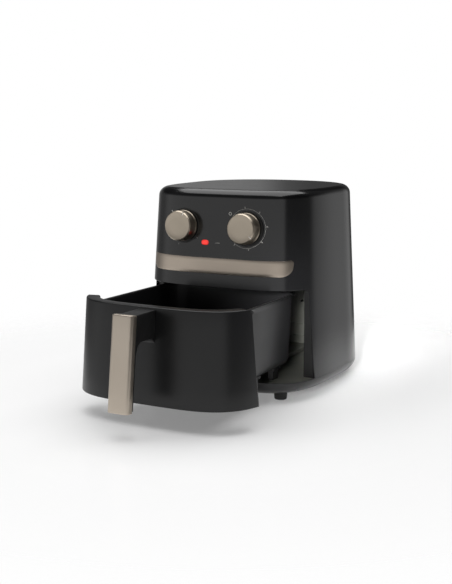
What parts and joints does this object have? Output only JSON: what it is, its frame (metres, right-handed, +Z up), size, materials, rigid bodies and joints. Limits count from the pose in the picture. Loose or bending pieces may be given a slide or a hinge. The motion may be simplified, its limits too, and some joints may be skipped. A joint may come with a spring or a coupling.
{
  "type": "air fryer",
  "caption": "Countertop basket air fryer with a rounded tapered body, two dials, an indicator lamp and a pull-out drawer with an upright handle.",
  "frame": {"origin": "on the floor, in the middle of the four feet", "axes": "+X to the right seen from the front, -Y towards the front, +Z up"},
  "size_m": [0.2922, 0.5704, 0.31],
  "materials": {
    "shell_gloss": "polished black ABS",
    "cover_gloss": "polished black ABS",
    "base_satin": "satin black ABS",
    "front_satin": "satin black",
    "grip_black": "fine satin",
    "liner_black": "satin",
    "trim_black": "satin",
    "champagne_metal": "champagne anodised, satin",
    "lens_red": "translucent red, lit",
    "foot_rubber": "matt black",
    "bumper_silicone": "grey silicone",
    "pan_nonstick": "black nonstick coating",
    "aluminised_steel": "aluminised sheet",
    "guard_wire": "plated wire",
    "element_sheath": "heat-darkened sheath",
    "fan_aluminium": "pressed sheet",
    "fan_plastic": "moulded",
    "shaft_steel": "ground",
    "screw_steel": "zinc plated",
    "laminations": "stacked laminations",
    "winding": "enamelled copper winding",
    "probe_copper": "bright copper",
    "bell_steel": "nickel plated",
    "mechanism_cream": "moulded",
    "switch_brown": "moulded phenolic",
    "lamp_body": "moulded",
    "fuse_ceramic": "glazed",
    "lead_red": "silicone sleeve"
  },
  "bodies": {
    "housing": {"outer_shell": "shell_gloss", "top_cover": "cover_gloss", "base_tray": "base_satin", "rubber_feet": "foot_rubber", "cavity_floor": "liner_black", "cavity_liner": "liner_black", "chamber_deck": "liner_black", "trim_band": "champagne_metal", "indicator_lens": "lens_red", "indicator_lamp": "lamp_body", "rear_vent_grille": "trim_black", "cord_inlet": "foot_rubber", "timer_collar": "trim_black", "temperature_collar": "trim_black", "control_bracket": "aluminised_steel", "bracket_screws": "screw_steel", "timer_unit": "mechanism_cream", "timer_bell": "bell_steel", "thermostat_unit": "mechanism_cream", "thermostat_probe": "probe_copper", "heat_shroud": "aluminised_steel", "heating_element": "element_sheath", "element_clips": "aluminised_steel", "element_guard": "guard_wire", "motor_stator": "laminations", "motor_coil": "winding", "motor_brackets": "aluminised_steel", "motor_mount": "aluminised_steel", "motor_screws": "screw_steel", "thermal_fuse": "fuse_ceramic", "safety_switch": "switch_brown", "switch_cover": "liner_black", "terminal_block": "mechanism_cream", "wiring_harness": "lead_red", "base_screws": "screw_steel"},
    "drawer": {"drawer_front": "front_satin", "drawer_pan": "pan_nonstick", "pan_bracket": "trim_black", "pan_skids": "trim_black", "drawer_screws": "screw_steel", "handle_body": "grip_black", "handle_cover": "champagne_metal", "handle_screws": "screw_steel"},
    "crisper": {"crisper_plate": "pan_nonstick", "plate_bumpers": "bumper_silicone"},
    "timer_dial": {"timer_knob": "champagne_metal", "timer_shaft": "shaft_steel"},
    "temperature_dial": {"temperature_knob": "champagne_metal", "thermostat_shaft": "shaft_steel"},
    "fan_rotor": {"convection_fan": "fan_aluminium", "fan_nut": "screw_steel", "motor_shaft": "shaft_steel", "cooling_fan": "fan_plastic", "motor_rotor": "laminations"},
    "switch_button": {"switch_plunger": "mechanism_cream"}
  },
  "joints": [
    {"name": "drawer_slide", "type": "slide", "parent": "housing", "child": "drawer", "axis": [0, -1, 0], "range_m": [-0.179, 0.1]},
    {"name": "plate_lift", "type": "slide", "parent": "drawer", "child": "crisper", "axis": [0, 0, 1], "range_m": [0, 0.09]},
    {"name": "timer_turn", "type": "hinge", "parent": "housing", "child": "timer_dial", "pos_m": [0.0525, -0.14724, 0.255], "axis": [0, -0.9976, 0.0698], "range_deg": [-135, 180]},
    {"name": "temperature_turn", "type": "hinge", "parent": "housing", "child": "temperature_dial", "pos_m": [-0.0525, -0.14724, 0.255], "axis": [0, -0.9976, 0.0698], "range_deg": [-195, 75]},
    {"name": "fan_spin", "type": "hinge", "parent": "housing", "child": "fan_rotor", "pos_m": [0, -0.01719, 0], "axis": [0, 0, 1], "continuous": true},
    {"name": "switch_press", "type": "slide", "parent": "housing", "child": "switch_button", "axis": [0, 1, 0], "range_m": [0, 0.003], "stiffness_N_per_m": 200, "springref_m": -0.004}
  ]
}
